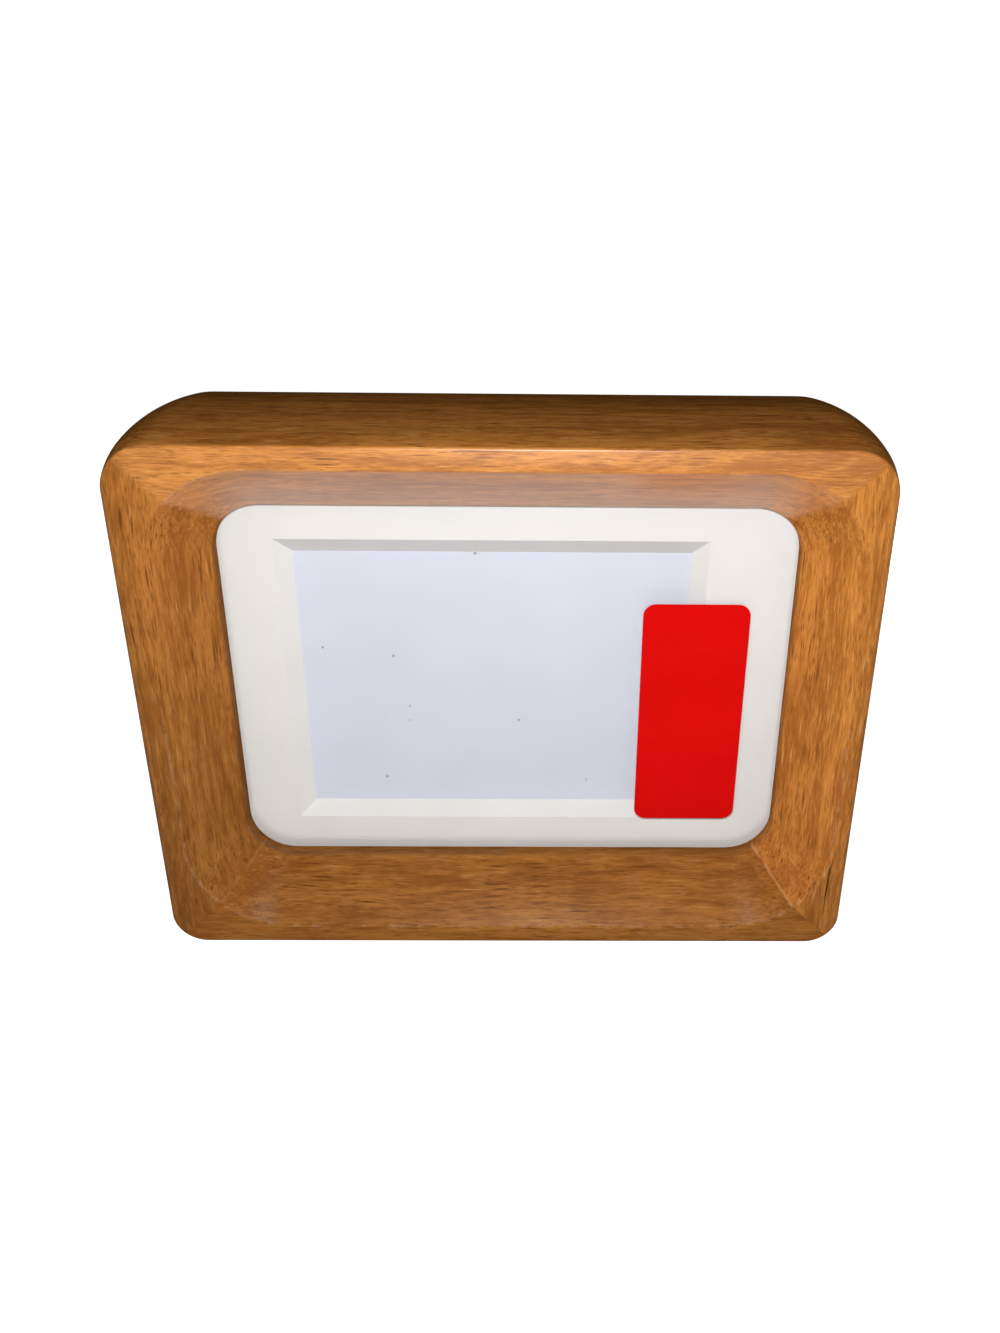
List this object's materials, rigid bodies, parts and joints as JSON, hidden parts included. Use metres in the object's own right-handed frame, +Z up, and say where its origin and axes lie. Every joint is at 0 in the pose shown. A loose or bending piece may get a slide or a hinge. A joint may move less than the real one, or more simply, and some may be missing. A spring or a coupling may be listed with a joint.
{
  "type": "picture frame",
  "caption": "Free-standing solid wood picture frame with mitred rails, a dished front, a bevelled mat behind clear glazing, and a backing board held by turn buttons.",
  "frame": {"origin": "on the ground, under the middle of the whole part", "axes": "+X to the right as seen from the front, +Y towards the back (the picture faces -Y), +Z up"},
  "size_m": [0.1536, 0.037, 0.1198],
  "materials": {
    "frame_wood": "satin oiled golden-brown hardwood with open pores",
    "steel": "bright plain steel",
    "zinc_plate": "zinc-plated pressed sheet steel",
    "tab_red": "smooth red label stock",
    "clear_film": "clear thin plastic film",
    "clear_acrylic": "clear polished acrylic",
    "mat_white": "matte warm white mat board",
    "insert_white": "matte cool white card",
    "filler_brown": "matte corrugated kraft board",
    "hardboard": "matte brown pressed fibre board"
  },
  "bodies": {
    "frame": {"top_rail": "frame_wood", "bottom_rail": "frame_wood", "left_rail": "frame_wood", "right_rail": "frame_wood", "corner_nail_top_left": "steel", "corner_nail_top_right": "steel", "corner_nail_bottom_left": "steel", "corner_nail_bottom_right": "steel", "peel_tab": "tab_red", "protective_film": "clear_film", "glazing_sheet": "clear_acrylic", "mat_board": "mat_white", "insert_card": "insert_white", "filler_card_front": "filler_brown", "filler_card_middle": "filler_brown", "filler_card_rear": "filler_brown", "backing_board": "hardboard", "button_screw_top_left": "steel", "button_screw_top_right": "steel", "button_screw_bottom_left": "steel", "button_screw_bottom_right": "steel"},
    "button_top_left": {"turn_button_top_left": "zinc_plate"},
    "button_top_right": {"turn_button_top_right": "zinc_plate"},
    "button_bottom_left": {"turn_button_bottom_left": "zinc_plate"},
    "button_bottom_right": {"turn_button_bottom_right": "zinc_plate"}
  },
  "joints": [
    {"name": "swivel_top_left", "type": "hinge", "parent": "frame", "child": "button_top_left", "pos_m": [-0.038, 0.0161, 0.1117], "axis": [0, 1, 0], "range_deg": [-90, 90]},
    {"name": "swivel_top_right", "type": "hinge", "parent": "frame", "child": "button_top_right", "pos_m": [0.038, 0.0161, 0.1117], "axis": [0, 1, 0], "range_deg": [-90, 90]},
    {"name": "swivel_bottom_left", "type": "hinge", "parent": "frame", "child": "button_bottom_left", "pos_m": [-0.038, 0.0161, 0.0063], "axis": [0, 1, 0], "range_deg": [-90, 90]},
    {"name": "swivel_bottom_right", "type": "hinge", "parent": "frame", "child": "button_bottom_right", "pos_m": [0.038, 0.0161, 0.0063], "axis": [0, 1, 0], "range_deg": [-90, 90]}
  ]
}
